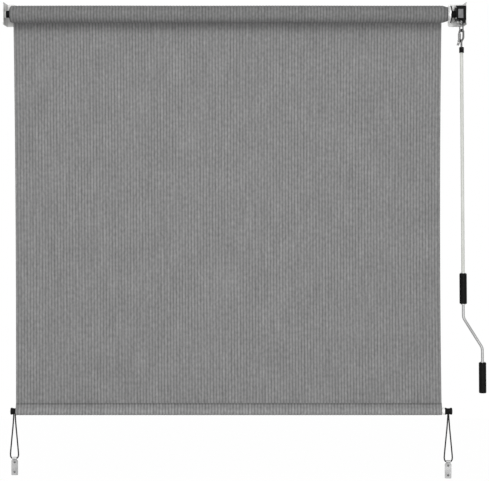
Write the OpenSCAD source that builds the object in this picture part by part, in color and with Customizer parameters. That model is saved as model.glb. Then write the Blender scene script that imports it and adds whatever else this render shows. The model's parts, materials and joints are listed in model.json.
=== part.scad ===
// Outdoor roller shade with a hand crank: two wall brackets, a cloth roll on a tube,
// a worm gearbox with an eye, a hanging crank, a hem bar and two elastic tie-downs.
// X runs along the roller, Y points at the wall, Z is up. The origin is the middle of the
// four wall screws, on the wall.

/* [Cloth] */
// Width of the cloth
cloth_w = 1535; // [800:5:2400]
// From the roller axis down to the seam of the hem pocket
drop = 1390; // [1300:1:2400]
// Thickness of the cloth between its ribs
cloth_t = 1.2; // [0.6:0.1:2]
// Pitch of the knitted ribs
rib_pitch = 11; // [8:0.5:20]
// Height of a rib
rib_h = 0.5; // [0.2:0.1:1]
// Cloth wound on the tube, measured along the radius
wrap_build = 8.5; // [5:0.5:16]
// How far the left edge draws in from top to bottom
edge_slant = 9.5; // [0:0.5:12]
// How far the side edges bow inwards at half height
edge_bow = 5; // [0:0.5:10]

/* [Roller] */
// Outer diameter of the roller tube
tube_d = 45; // [40:1:60]
// Wall of the roller tube
tube_wall = 1.5; // [1:0.1:3]
// Tube left bare of full turns at the idler end
bare_left = 5.5; // [4:0.5:20]
// Tube left bare of full turns at the drive end
bare_right = 19; // [17:0.5:30]
// Diameter of the idler pin
pin_d = 10; // [8:0.5:14]

/* [Brackets] */
// Height of both brackets
bracket_h = 80; // [74:1:110]
// Sheet thickness of the brackets
plate_t = 2.5; // [1.5:0.1:4]
// Width of the left wall plate
left_plate_w = 33; // [30:1:60]
// Width of the right wall plate
right_plate_w = 56; // [50:1:80]
// From a bracket's outer face to its wall screws
screw_inset = 20; // [16:0.5:22]
// Height between the two wall screws of a bracket
screw_pitch = 40; // [34:1:44]
// Diameter of the wall screw holes
screw_hole_d = 6.5; // [4:0.1:8]

/* [Gearbox] */
// Length of the gearbox along the roller
gearbox_w = 34.5; // [32:0.5:44]
// Teeth of the worm wheel
wheel_teeth = 11; // [10:1:12]
// Pitch of the worm thread
thread_pitch = 6; // [5.8:0.1:6.4]
// Pitch radius of the worm
worm_r = 6; // [5.6:0.1:6.6]
// Half the depth of the worm thread
thread_half = 1.6; // [1.4:0.05:1.7]
// Forward lean of the worm, its eye and the crank, in degrees
lean = 2.5; // [2:0.1:4]
// Wire of the worm's eye
eye_wire = 5; // [4:0.5:6]

/* [Crank] */
// Wire of the hook
hook_wire = 7; // [5:0.5:8]
// Outer diameter of the pole
pole_d = 12; // [11.5:0.5:16]
// Wall of the pole
pole_wall = 0.8; // [0.6:0.1:1.5]
// From the roller axis to the top of the collar
collar_top = 120; // [114:1:140]
// From the roller axis to the top of the upper grip
upper_grip_top = 920; // [600:1:940]
// From the roller axis to the start of the bends
bend_top = 1067; // [1050:1:1200]
// Diameter of the bent rod
rod_d = 10; // [8:0.5:10]
// Radius of the two bends
bend_r = 32; // [15:1:36]
// Angle of the slanting stretch, in degrees
bend_angle = 32; // [30:1:45]
// Throw of the crank arm
throw = 66; // [50:1:72]
// Bare rod between the bends and the lower grip
arm_l = 41; // [20:1:80]
// Diameter of the grips
grip_d = 26; // [20:0.5:30]
// Length of a grip
grip_l = 108; // [80:1:120]

/* [Hem and tie-downs] */
// Diameter of the hem tube
hem_d = 25; // [20:0.5:30]
// Wall of the hem tube
hem_wall = 1.2; // [0.8:0.1:2]
// From the seam of the pocket to the middle of the hem tube
pocket_h = 29; // [26:0.5:40]
// Hem tube left bare beside the right cap
hem_bare = 10; // [8:0.5:30]
// Length of a hem cap outside the tube
cap_l = 27; // [22:0.5:32]
// Diameter of the elastic cord
cord_d = 5; // [3:0.1:5]
// Width of a tie-down plate
tie_w = 24; // [20:0.5:30]
// Length of a tie-down plate below its eye
tie_l = 61; // [52:1:80]
// Sheet thickness of a tie-down plate
tie_t = 2; // [1.5:0.1:2.5]

/* [Hidden] */
$fn = 48;
eps = 0.01;
cut = 1;           // how far a cut runs past the face that it opens
lap = 0.3;         // how far a straight wire reaches into its bend
bend_over = 0.02;  // a bend is this much thicker all round

// Clearances
run_clear = 0.3;   // between a bore and what turns in it
seat_clear = 0.1;  // between a bore and what is fixed in it
cloth_clear = 0.3; // between the roll and the hanging cloth
end_gap = 0.5;     // along the axis, between turning and fixed faces
hole_spare = 1;    // a blind hole is this much deeper than what goes in

// Cloth and roll
tube_r = tube_d / 2;
tube_bore = tube_d - 2 * tube_wall;
roll_r = tube_r + wrap_build;
panel_t = cloth_t + rib_h;
rib_count = floor(cloth_w / rib_pitch);
roll_short = [0.5, 2.5];  // the innermost turns end this far from the tube's left and right ends
taper_left = bare_left - roll_short[0];
taper_right = bare_right - roll_short[1];
steep_left = 4;    // how squarely the turns end on each side; 1 is an even slope
steep_right = 1;
turn_count = 5;
edge_steps = 10;
inner_turn = 1.8;  // thickness of the innermost turns, which reach the ends of the roll
pocket_clear = 0.3;
pocket_in = hem_d / 2 + pocket_clear;
pocket_r = pocket_in + cloth_t;
wall_clear = 4.5;  // between the hem pocket and the wall
roller_y = -(roll_r + cloth_clear + panel_t / 2 + pocket_r + wall_clear);
panel_y = roller_y + roll_r + cloth_clear + panel_t / 2;
hem_z = -drop - pocket_h;

// Row of parts along the roller axis, from the left bracket to the right one
bush_flange_t = 4;
sleeve_out = 1;
pin_out = 2;
plug_end_t = 4;
bush_sleeve_d = pin_d + 6;
boss_d = pin_d + 16;
boss_l = 12.5;
plug_flange_t = 1.5;
idler_plug_l = 30;
drive_rim_l = 7;
drive_rim_d = tube_d + 9;
rim_groove = 1;
drive_plug_l = 40;
flange_t = 3;
hub_gap = 14;
tube_l = cloth_w + bare_left + bare_right;
left_stack = plate_t + bush_flange_t + end_gap + boss_l + plug_flange_t;
right_stack = drive_rim_l + end_gap + flange_t + hub_gap + gearbox_w + plate_t;
span = left_stack + tube_l + right_stack;
outer_x = span / 2;
inner_x = outer_x - plate_t;
tube_x0 = -outer_x + left_stack;
tube_x1 = tube_x0 + tube_l;
cloth_x0 = tube_x0 + bare_left;
cloth_x1 = tube_x1 - bare_right;
gearbox_x = inner_x - gearbox_w;
side_depth = -roller_y + roll_r + 4;
screw_x = outer_x - screw_inset;
fold_in = 2;
bracket_round = 8;

// Gears
wheel_r = wheel_teeth * thread_pitch / (2 * PI);
gear_dist = wheel_r + worm_r;
tooth_clear = 0.38;
tooth_half = thread_half - 0.1;
tooth_steps = 8;
wheel_w = 9;
wheel_hub_l = 4;
wheel_hub_d = 16;
worm_l = 26;
worm_sides = 20;
worm_slices = 60;
helix_per_mm = 180 / PI * thread_pitch / (2 * PI * worm_r) / wheel_r;
wheel_in = 15;
wheel_x = inner_x - wheel_in;
shaft_side = 10;
journal_d = 9;
hub_d = 25;
shank_d = 8;
top_journal_d = 7;
top_journal_l = 9;
cover_t = 5;
foot_t = 4.5;
gear_room = 1;     // room beside the wheel, the hub and the ends of the worm
worm_room_r = worm_r + thread_half + 0.6;
room_r = max(wheel_r + tooth_half, hub_d / 2) + gear_room;

// Gearbox casing, seen along the roller axis from the wheel's centre
case_front = -(gear_dist + worm_r + thread_half + 5.5);
case_back = wheel_r + tooth_half + 9;
case_top = worm_l / 2 + top_journal_l + 5;
case_bottom = -(worm_l / 2 + 11);
case_round = 5;
case_x0 = gearbox_x - wheel_x;
case_x1 = inner_x - wheel_x;
foot_margin = 6;
foot_edge = 13;    // the foot stops this far behind the worm
foot_front = foot_edge - gear_dist;
bush_l = 8;
bush_d = 2 * worm_room_r + 0.4;
bush_lip_t = 2;
bush_lip_d = bush_d + 3;
window_w = 18;
window_h = 32;
window_t = 1.5;
window_x = case_x0 + cover_t + 2 + window_w / 2;
window_z = -1.5;
fix_screw_d = 4;
fix_screw_l = 9;
cover_screw_l = 11;
fix_head_d = 7;
fix_head_t = 2.4;
fix_inset = 6;
cover_screw_at = [
    for (y = [case_front + fix_inset, case_back - fix_inset])
        for (z = [case_bottom + fix_inset, case_top - fix_inset])
            [y, z]
];
gearbox_screw_at = [for (i = [1 : 3]) cover_screw_at[i]];

// Worm's eye and the hook, as distances below the wheel's centre
eye_half = 9.5;
eye_boss_d = 13;
eye_boss_top = -case_bottom + bush_lip_t + end_gap;
eye_boss_l = 11;
eye_floor = 1.5;
eye_lap = 1;
eye_pin_d = 3;
eye_pin_l = 5;
bow_r = 8.5;
bow_l = 66.5;
hook_rest = 0.3;
eye_low = bow_l - bow_r + hook_wire / 2 + hook_rest + eye_wire / 2;
eye_high = eye_boss_top + eye_boss_l - eye_lap + eye_half;
eye_turn = 45;
hook_turn = -45;
tip_l = 3.5;
leg_l = 17;
neck_r = 14;
neck_angle = acos(1 - bow_r / (2 * neck_r));
neck_run = 0.05;
neck_end = bow_l + leg_l + 2 * neck_r * sin(neck_angle);
pivot_up = 6.6;    // from the pivot to the end of the neck
pivot_l = neck_end - pivot_up;
pivot_d = 3.5;
pivot_out = 1;
lug_t = 3;
lug_r = 4;
gate_w = 11;
gate_t = 6;
gate_slot = 8.4;
gate_boss_r = 5;
gate_gap = 0.6;
lug_room = 3;
tail_l = 17;
tail_t = 3;
tail_angle = 28;
spring_wire = 0.9;
spring_gap = 0.1;
spring_sides = 6;
spring_turns = 1.25;
spring_steps = 12;

// Crank
collar_d = 17;
collar_l = 20;
collar_lip = 8;
collar_round = 2;
shank_l = collar_top + collar_l - neck_end;
pole_top = collar_top + collar_lip;
upper_grip_end = upper_grip_top + grip_l;
pole_short = 8;    // the pole ends this far above the end of the upper grip
pole_end = upper_grip_end - pole_short;
pole_bore = pole_d - 2 * pole_wall;
rod_in_pole = 40;  // the rod reaches this far above the upper grip
rod_top = upper_grip_top - rod_in_pole;
slant_l = (throw - 2 * bend_r * (1 - cos(bend_angle))) / sin(bend_angle);
bend_drop = 2 * bend_r * sin(bend_angle) + slant_l * cos(bend_angle);
lower_grip_top = bend_top + bend_drop + arm_l;
grip_wall_end = 7;
rod_end = lower_grip_top + grip_l - grip_wall_end - hole_spare;
washer_t = 1.5;
washer_d = 17;
washer_gap = 0.3;
grip_round = 4;

// Hem bar and tie-downs
pocket_over = 0.5; // the pocket reaches this far past the right edge of the cloth
cap_tuck = 8;      // the left cap is pushed this far into the pocket
pocket_x0 = cloth_x0 + edge_slant;
pocket_x1 = cloth_x1 + pocket_over;
hem_x0 = pocket_x0 + cap_tuck;
hem_x1 = pocket_x1 + hem_bare;
hem_bore = hem_d - 2 * hem_wall;
cap_d = hem_d;
cap_round = 2;
cap_waist_d = hem_d - 4;
cap_groove_r = 20;
cap_plug_l = 25;
eye_play = 1.5;
eye_in = cord_d + eye_play;
eye_out = eye_in + 2 * tie_t;
eye_w = 16;
eye_slit = 0.8;
tie_shoulder = 7;
tie_round = 3;
tie_hole_d = 5;
tie_hole_z = [-14, -49];
tie_head_d = 8.5;
tie_head_t = 2.4;
tie_shank_l = 9;
left_eye_drop = 169;
right_eye_drop = 181;
left_cord_x = hem_x0 - cap_l / 2;
right_cord_x = hem_x1 + cap_l / 2;
cord_sides = 8;

// Cord route below the middle of a cap, as far as the eye; the other half is its turn by 180 degrees
cord_half = [
    [-2.1, -3.8, -6], [-2.1, -3.8, -13], [-2.6, -3.7, -24], [-3.9, -3.3, -42], [-5.6, -2.8, -62],
    [-7.8, -2.2, -84], [-10, -1.6, -106], [-12.1, -0.9, -128], [-13.9, -0.3, -147], [-14.5, 0, -156.5],
    [-13.6, 0, -163], [-11.2, 0, -167.6], [-7.8, 0, -169.7], [-3.8, 0, -170], [0, 0, -170]
];

// Places and shared shapes

// The wheel's centre, with the worm's lean; the worm stands at y = -gear_dist here
module at_gear() {
    translate([wheel_x, roller_y, 0])
        rotate([-lean, 0, 0])
            children();
}

// The worm's axis, which is also the crank's
module at_worm() {
    at_gear()
        translate([0, -gear_dist, 0])
            children();
}

module at_hook() {
    at_worm()
        rotate([0, 0, hook_turn])
            children();
}

// A shape with its Z along the roller axis, starting at x
module along_roller(x) {
    translate([x, roller_y, 0])
        rotate([90, 0, 90])
            children();
}

// A disc or rod on the roller axis from x0 to x1
module roller_disc(x0, x1, d) {
    along_roller(x0)
        cylinder(d = d, h = x1 - x0);
}

// A square bar on the roller axis from x0 to x1
module roller_bar(x0, x1, side) {
    along_roller(x0)
        translate([-side / 2, -side / 2, 0])
            cube([side, side, x1 - x0]);
}

module rounded_rect(x0, x1, y0, y1, r) {
    translate([x0 + r, y0])
        square([x1 - x0 - 2 * r, y1 - y0]);
    translate([x0, y0 + r])
        square([x1 - x0, y1 - y0 - 2 * r]);
    for (x = [x0 + r, x1 - r])
        for (y = [y0 + r, y1 - r])
            translate([x, y])
                circle(r = r);
}

// A straight stretch of wire, going down, with what follows at its end
module run(l, d) {
    translate([0, 0, -l]) {
        translate([0, 0, -lap])
            cylinder(d = d, h = l + 2 * lap);
        children();
    }
}

// A bend of wire towards +X, with what follows at its end
module bend(r, a, d) {
    translate([r, 0, 0])
        rotate([90, 0, 0])
            rotate([0, 0, 180])
                rotate_extrude(angle = a)
                    translate([r, 0])
                        circle(d = d + 2 * bend_over);
    translate([r * (1 - cos(a)), 0, -r * sin(a)])
        rotate([0, -a, 0])
            children();
}

module bend_back(r, a, d) {
    rotate([0, 0, 180])
        bend(r, a, d)
            rotate([0, 0, 180])
                children();
}

// Ribbed edge: x and height pairs for every rib from x0 to x1
function rib_points(x0, x1, base, h) = [
    for (i = [0 : rib_count - 1])
        let (step = (x1 - x0) / rib_count, x = x0 + i * step)
            for (p = [[0, 0], [0.15, 1], [0.5, 1], [0.65, 0]])
                [x + p[0] * step, base + p[1] * h]
];

// A screw with a round head on top of z = 0 and a plain shank below
module screw(head_d, head_t, d, l) {
    translate([0, 0, -l])
        cylinder(d = d, h = l + head_t / 2);
    rotate_extrude()
        intersection() {
            translate([0, head_t - head_d])
                circle(r = head_d);
            square([head_d / 2, head_t]);
        }
}

// Brackets

// Sheet outline with its free end at x = 0 and that end's corners rounded
module plate_outline(w, h, r) {
    translate([r, -h / 2])
        square([w - r, h]);
    translate([0, -h / 2 + r])
        square([r + eps, h - 2 * r]);
    for (z = [-h / 2 + r, h / 2 - r])
        translate([r, z])
            circle(r = r);
}

// Folded sheet at the right end: wall plate, side plate and the fold between them
module bracket(plate_w) {
    fold_out = fold_in + plate_t;
    difference() {
        union() {
            translate([outer_x - plate_w, 0, 0])
                rotate([90, 0, 0])
                    linear_extrude(plate_t)
                        plate_outline(plate_w - fold_out, bracket_h, bracket_round);
            translate([inner_x, -side_depth, 0])
                rotate([90, 0, 90])
                    linear_extrude(plate_t)
                        plate_outline(side_depth - fold_out, bracket_h, bracket_round);
            translate([outer_x - fold_out, -fold_out, -bracket_h / 2])
                linear_extrude(bracket_h)
                    intersection() {
                        difference() {
                            circle(r = fold_out);
                            circle(r = fold_in);
                        }
                        square(fold_out);
                    }
        }
        for (z = [-screw_pitch / 2, screw_pitch / 2])
            translate([screw_x, cut, z])
                rotate([90, 0, 0])
                    cylinder(d = screw_hole_d, h = plate_t + 2 * cut);
    }
}

module left_bracket() {
    color("gainsboro")
        difference() {
            mirror([1, 0, 0])
                bracket(left_plate_w);
            roller_disc(-outer_x - cut, -inner_x + cut, bush_sleeve_d + 2 * seat_clear);
        }
}

module right_bracket() {
    color("gainsboro")
        difference() {
            bracket(right_plate_w);
            at_gear()
                for (p = gearbox_screw_at)
                    translate([case_x1 - cut, p[0], p[1]])
                        rotate([0, 90, 0])
                            cylinder(d = fix_screw_d + 2 * seat_clear, h = plate_t + 2 * cut);
        }
}

// Plain bearing pressed into the left bracket, its flange facing the roller
module idler_bush() {
    color("dimgray")
        difference() {
            union() {
                roller_disc(-outer_x - sleeve_out, -inner_x, bush_sleeve_d);
                roller_disc(-inner_x, -inner_x + bush_flange_t, boss_d);
            }
            roller_disc(-outer_x - sleeve_out - cut, -inner_x + bush_flange_t + cut, pin_d + 2 * run_clear);
        }
}

// Gearbox

// A casing outline in Y and Z, drawn out along X from x0 to x1
module case_block(x0, x1, y0, y1, z0, z1) {
    translate([x0, 0, 0])
        rotate([90, 0, 90])
            linear_extrude(x1 - x0)
                rounded_rect(y0, y1, z0, z1, case_round);
}

// Moulded casing, open towards the roller, with a foot against the side plate
module gearbox_housing() {
    color("black")
        at_gear()
            difference() {
                union() {
                    case_block(case_x0 + cover_t, case_x1, case_front, case_back, case_bottom, case_top);
                    case_block(case_x1 - foot_t, case_x1, foot_front, case_back + foot_margin,
                        case_bottom - foot_margin, case_top);
                }
                wheel_room();
                worm_room();
                translate([window_x - window_w / 2, case_front - cut, window_z - window_h / 2])
                    cube([window_w, window_t + cut, window_h]);
                for (p = cover_screw_at)
                    translate([case_x0, p[0], p[1]])
                        rotate([0, 90, 0])
                            cylinder(d = fix_screw_d + 2 * seat_clear, h = cover_screw_l + hole_spare);
                for (p = gearbox_screw_at)
                    translate([case_x1 - fix_screw_l, p[0], p[1]])
                        rotate([0, 90, 0])
                            cylinder(d = fix_screw_d + 2 * seat_clear, h = fix_screw_l + cut);
            }
}

module wheel_room() {
    translate([case_x0, 0, 0])
        rotate([0, 90, 0])
            cylinder(r = room_r, h = wheel_w / 2 + gear_room - case_x0);
    rotate([0, 90, 0])
        cylinder(d = journal_d + 2 * run_clear, h = case_x1 + cut);
}

module worm_room() {
    translate([0, -gear_dist, 0]) {
        translate([0, 0, case_bottom + bush_l - eps])
            cylinder(r = worm_room_r, h = worm_l / 2 + gear_room - case_bottom - bush_l);
        cylinder(d = top_journal_d + 2 * run_clear, h = worm_l / 2 + top_journal_l + hole_spare);
        translate([0, 0, case_bottom - cut])
            cylinder(d = bush_d, h = bush_l + cut);
    }
}

module gearbox_cover() {
    color("black")
        at_gear()
            difference() {
                case_block(case_x0, case_x0 + cover_t, case_front, case_back, case_bottom, case_top);
                translate([case_x0 - cut, 0, 0])
                    rotate([0, 90, 0])
                        cylinder(d = hub_d + 2 * run_clear, h = cover_t + 2 * cut);
                for (p = cover_screw_at)
                    translate([case_x0 - cut, p[0], p[1]])
                        rotate([0, 90, 0])
                            cylinder(d = fix_screw_d + 2 * seat_clear, h = cover_t + 2 * cut);
            }
}

module cover_screws() {
    color("silver")
        at_gear()
            for (p = cover_screw_at)
                translate([case_x0, p[0], p[1]])
                    rotate([0, -90, 0])
                        screw(fix_head_d, fix_head_t, fix_screw_d, cover_screw_l);
}

module gearbox_screws() {
    color("silver")
        at_gear()
            for (p = gearbox_screw_at)
                translate([case_x1 + plate_t, p[0], p[1]])
                    rotate([0, 90, 0])
                        screw(fix_head_d, fix_head_t, fix_screw_d, fix_screw_l + plate_t - hole_spare);
}

module worm_bush() {
    color("goldenrod")
        at_worm()
            difference() {
                union() {
                    translate([0, 0, case_bottom])
                        cylinder(d = bush_d - 2 * seat_clear, h = bush_l - end_gap);
                    translate([0, 0, case_bottom - bush_lip_t])
                        cylinder(d = bush_lip_d, h = bush_lip_t);
                }
                translate([0, 0, case_bottom - bush_lip_t - cut])
                    cylinder(d = shank_d + 2 * run_clear, h = bush_l + bush_lip_t + 2 * cut);
            }
}

// Plate let into the front of the casing
module front_plate() {
    color("dimgray")
        at_gear()
            translate([window_x, case_front + window_t, window_z])
                rotate([90, 0, 0])
                    linear_extrude(window_t)
                        square([window_w - 2 * seat_clear, window_h - 2 * seat_clear], center = true);
}

// Roller

module roller_tube() {
    color("lightgray")
        difference() {
            roller_disc(tube_x0, tube_x1, tube_d);
            roller_disc(tube_x0 - cut, tube_x1 + cut, tube_bore);
        }
}

// Stepped end of the roll: one step for each pair of turns
function turn_steps(reach, steep) = [
    for (i = [0 : turn_count - 1])
        for (side = [0, 1])
            [
                tube_r + inner_turn + (wrap_build - rib_h - inner_turn) * (i + side) / turn_count,
                -reach * (1 - pow(i / (turn_count - 1), steep))
            ]
];

// Cloth wound on the tube, with its ribs around it and the edges of its turns at both ends
module fabric_roll() {
    bore_r = tube_r + seat_clear;
    ribs = [for (p = rib_points(0, cloth_w, roll_r - rib_h, rib_h)) [p[1], p[0]]];
    left_end = turn_steps(taper_left, steep_left);
    right_end = [for (p = turn_steps(taper_right, steep_right)) [p[0], cloth_w - p[1]]];
    right_down = [for (i = [len(right_end) - 1 : -1 : 0]) right_end[i]];
    color("gray")
        along_roller(cloth_x0)
            rotate_extrude()
                polygon(concat(
                    [[bore_r, cloth_w + taper_right], [bore_r, -taper_left]],
                    left_end, [for (i = [1 : len(ribs) - 1]) ribs[i]], right_down
                ));
}

module idler_plug() {
    color("dimgray")
        difference() {
            union() {
                roller_disc(tube_x0 - plug_flange_t - boss_l, tube_x0, boss_d);
                roller_disc(tube_x0 - plug_flange_t, tube_x0, tube_d);
                roller_disc(tube_x0 - eps, tube_x0 + idler_plug_l, tube_bore - 2 * seat_clear);
            }
            roller_disc(tube_x0 - plug_flange_t - boss_l - cut, tube_x0 + idler_plug_l - plug_end_t,
                pin_d + 2 * seat_clear);
        }
}

module idler_pin() {
    color("silver")
        roller_disc(-outer_x - pin_out, tube_x0 + idler_plug_l - plug_end_t - end_gap, pin_d);
}

// Metal plug in the drive end of the tube, with a bright rim
module drive_plug() {
    color("whitesmoke")
        difference() {
            union() {
                along_roller(tube_x1)
                    rotate_extrude()
                        difference() {
                            square([drive_rim_d / 2, drive_rim_l]);
                            translate([drive_rim_d / 2 + drive_rim_l, drive_rim_l / 2])
                                circle(r = drive_rim_l + rim_groove);
                        }
                roller_disc(tube_x1 - drive_plug_l, tube_x1 + eps, tube_bore - 2 * seat_clear);
            }
            roller_bar(tube_x1 - drive_plug_l - cut, tube_x1 + drive_rim_l + cut,
                shaft_side + 2 * seat_clear);
        }
}

// Moulded disc and hub between the tube and the gearbox
module drive_flange() {
    x0 = tube_x1 + drive_rim_l + end_gap;
    color("black")
        difference() {
            union() {
                along_roller(x0)
                    rotate_extrude()
                        rounded_rect_half(roll_r, flange_t);
                roller_disc(x0, wheel_x - wheel_w / 2 - wheel_hub_l - end_gap, hub_d);
            }
            roller_bar(x0 - cut, wheel_x, shaft_side + 2 * seat_clear);
        }
}

// Half section of a disc with a rounded rim
module rounded_rect_half(r, t) {
    square([r - t / 2, t]);
    translate([r - t / 2, t / 2])
        circle(d = t);
}

module drive_shaft() {
    color("silver") {
        roller_bar(tube_x1 - drive_plug_l + plug_end_t, wheel_x + wheel_w / 2, shaft_side);
        roller_disc(wheel_x, inner_x - end_gap, journal_d);
    }
}

// Tooth outline, with a gap facing the worm
function tooth_points() = [
    for (i = [0 : wheel_teeth * tooth_steps - 1])
        let (a = 360 * i / (wheel_teeth * tooth_steps))
            (wheel_r - tooth_clear - tooth_half * cos(wheel_teeth * (a - 180))) * [cos(a), sin(a)]
];

module worm_wheel() {
    turn = helix_per_mm * wheel_w;
    color("goldenrod")
        at_gear()
            difference() {
                rotate([90, 0, 90]) {
                    translate([0, 0, -wheel_w / 2])
                        rotate([0, 0, -turn / 2])
                            linear_extrude(wheel_w, twist = -turn, slices = 4)
                                polygon(tooth_points());
                    translate([0, 0, -wheel_w / 2 - wheel_hub_l])
                        cylinder(d = wheel_hub_d, h = wheel_hub_l + lap);
                }
                rotate([lean, 0, 0])
                    translate([-wheel_w, -shaft_side / 2 - seat_clear, -shaft_side / 2 - seat_clear])
                        cube([2 * wheel_w, shaft_side + 2 * seat_clear, shaft_side + 2 * seat_clear]);
            }
}

// Worm and crank eye

module worm_shaft() {
    shank_end = eye_boss_top + eye_boss_l - eye_floor - end_gap;
    color("silver")
        at_worm()
            difference() {
                union() {
                    translate([0, 0, -worm_l / 2])
                        rotate([0, 0, 90 - 180 * worm_l / thread_pitch])
                            linear_extrude(worm_l, twist = -360 * worm_l / thread_pitch, slices = worm_slices)
                                translate([thread_half, 0])
                                    circle(r = worm_r, $fn = worm_sides);
                    cylinder(d = top_journal_d, h = worm_l / 2 + top_journal_l);
                    translate([0, 0, -shank_end])
                        cylinder(d = shank_d, h = shank_end);
                }
                eye_pin_bore();
            }
}

module eye_pin_bore() {
    translate([0, 0, -eye_boss_top - eye_pin_l])
        rotate([0, 90, eye_turn])
            cylinder(d = eye_pin_d + 2 * seat_clear, h = eye_boss_d + 2 * cut, center = true);
}

// Boss and long ring in one piece
module worm_eye() {
    color("silver")
        at_worm()
            difference() {
                union() {
                    translate([0, 0, -eye_boss_top - eye_boss_l])
                        cylinder(d = eye_boss_d, h = eye_boss_l);
                    rotate([0, 0, eye_turn])
                        ring_link(eye_half, eye_high, eye_low - eye_half, eye_wire);
                }
                translate([0, 0, -eye_boss_top - eye_boss_l + eye_floor])
                    cylinder(d = shank_d + 2 * seat_clear, h = eye_boss_l);
                eye_pin_bore();
            }
}

// A ring of two half turns and two straight sides, between depths l0 and l1
module ring_link(half, l0, l1, wire) {
    for (end = [0, 1])
        translate([0, 0, end == 0 ? -l0 : -l1])
            rotate([90, 0, 0])
                rotate([0, 0, 180 * end])
                    rotate_extrude(angle = 180)
                        translate([half, 0])
                            circle(d = wire + 2 * bend_over);
    for (x = [-half, half])
        translate([x, 0, -l1 - lap])
            cylinder(d = wire, h = l1 - l0 + 2 * lap);
}

module eye_pin() {
    color("gray")
        at_worm()
            translate([0, 0, -eye_boss_top - eye_pin_l])
                rotate([0, 90, eye_turn])
                    cylinder(d = eye_pin_d, h = eye_boss_d, center = true);
}

// Hanging cloth and hem

// Side edges of the hanging cloth: t runs from 0 at the top to 1 at the seam
function left_edge(t) = cloth_x0 + edge_slant * t + edge_bow * 2 * t * (1 - t);
function right_edge(t) = cloth_x1 - edge_bow * 4 * t * (1 - t);

module shade_panel() {
    base = -(panel_t / 2 - rib_h);
    front = rib_points(cloth_x0, cloth_x1, base, -rib_h);
    ts = [for (i = [0 : edge_steps]) i / edge_steps];
    color("gray")
        translate([0, panel_y, 0])
            intersection() {
                translate([0, 0, -drop])
                    linear_extrude(drop)
                        polygon(concat(front, [
                            [cloth_x1, base], [cloth_x1, panel_t / 2], [cloth_x0, panel_t / 2]
                        ]));
                translate([0, panel_t, 0])
                    rotate([90, 0, 0])
                        linear_extrude(2 * panel_t)
                            polygon(concat(
                                [for (t = ts) [left_edge(t), -drop * t]],
                                [for (i = [edge_steps : -1 : 0]) [right_edge(ts[i]), -drop * ts[i]]]
                            ));
            }
}

module along_hem(x) {
    translate([x, panel_y, hem_z])
        rotate([90, 0, 90])
            children();
}

// Section of the pocket: cloth round the hem tube, closed at the seam
module pocket_section() {
    difference() {
        pocket_outline(pocket_r, pocket_h, cloth_t);
        pocket_outline(pocket_in, pocket_h - 3 * cloth_t, eps);
    }
}

module pocket_outline(r, h, top) {
    a = asin(r / (h + 2 * top));
    circle(r = r);
    polygon([[r * cos(a), r * sin(a)], [top, h], [-top, h], [-r * cos(a), r * sin(a)], [0, -r / 2]]);
}

module hem_pocket() {
    color("gray")
        along_hem(pocket_x0)
            linear_extrude(pocket_x1 - pocket_x0)
                pocket_section();
}

module hem_tube() {
    color("whitesmoke")
        along_hem(hem_x0)
            difference() {
                cylinder(d = hem_d, h = hem_x1 - hem_x0);
                translate([0, 0, -cut])
                    cylinder(d = hem_bore, h = hem_x1 - hem_x0 + 2 * cut);
            }
}

// Spool-shaped end cap, its plug in the tube and its waist holding the elastic cord
module hem_cap(turn) {
    groove_z = cap_waist_d / 2 + cap_groove_r;
    color("black")
        difference() {
            rotate([90, 0, 90])
                union() {
                    rotate_extrude()
                        difference() {
                            rounded_cap_half();
                            translate([groove_z, cap_l / 2])
                                circle(r = cap_groove_r);
                        }
                    translate([0, 0, -cap_plug_l])
                        cylinder(d = hem_bore - 2 * seat_clear, h = cap_plug_l + eps);
                }
            for (side = [-1, 1])
                translate([cap_l / 2 + turn * side * cord_half[0][0], side * cord_half[0][1], -hem_d])
                    cylinder(d = cord_d + 2 * run_clear, h = hem_d + cord_half[0][2] + hole_spare);
        }
}

module rounded_cap_half() {
    r = cap_d / 2;
    square([r, cap_l - cap_round]);
    square([r - cap_round, cap_l]);
    translate([r - cap_round, cap_l - cap_round])
        circle(r = cap_round);
}

module left_hem_cap() {
    translate([hem_x0, panel_y, hem_z])
        mirror([1, 0, 0])
            hem_cap(-1);
}

module right_hem_cap() {
    translate([hem_x1, panel_y, hem_z])
        hem_cap(1);
}

// Elastic tie-downs

function unit(v) = v / norm(v);

// Points of one cord under its cap; the drop to the eye sets how far it hangs
function stretched(p, eye_drop) =
    let (z0 = cord_half[1][2], zn = cord_half[len(cord_half) - 1][2])
        [p[0], p[1], p[2] > z0 ? p[2] : z0 + (p[2] - z0) * (-eye_drop - z0) / (zn - z0)];

function cord_route(eye_drop) = let (down = [for (p = cord_half) stretched(p, eye_drop)]) concat(
    down, [for (i = [len(down) - 2 : -1 : 0]) [-down[i][0], -down[i][1], down[i][2]]]
);

// A round tube along a list of points that never runs along Y
module swept(route, d, sides) {
    n = len(route);
    rings = [
        for (i = [0 : n - 1])
            let (
                t = unit(route[min(i + 1, n - 1)] - route[max(i - 1, 0)]),
                u = unit(cross(t, [0, 1, 0])),
                v = cross(t, u)
            )
                for (k = [0 : sides - 1])
                    route[i] + d / 2 * (cos(360 * k / sides) * u + sin(360 * k / sides) * v)
    ];
    sides_of = [
        for (i = [0 : n - 2])
            for (k = [0 : sides - 1])
                let (a = i * sides + k, b = i * sides + (k + 1) % sides)
                    [a, a + sides, b + sides, b]
    ];
    first = [for (k = [0 : sides - 1]) k];
    last = [for (k = [sides - 1 : -1 : 0]) (n - 1) * sides + k];
    polyhedron(rings, concat(sides_of, [first, last]));
}

module left_cord() {
    color("black")
        translate([left_cord_x, panel_y, hem_z])
            swept(cord_route(left_eye_drop), cord_d, cord_sides);
}

module right_cord() {
    color("black")
        translate([right_cord_x, panel_y, hem_z])
            swept(cord_route(right_eye_drop), cord_d, cord_sides);
}

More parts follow.
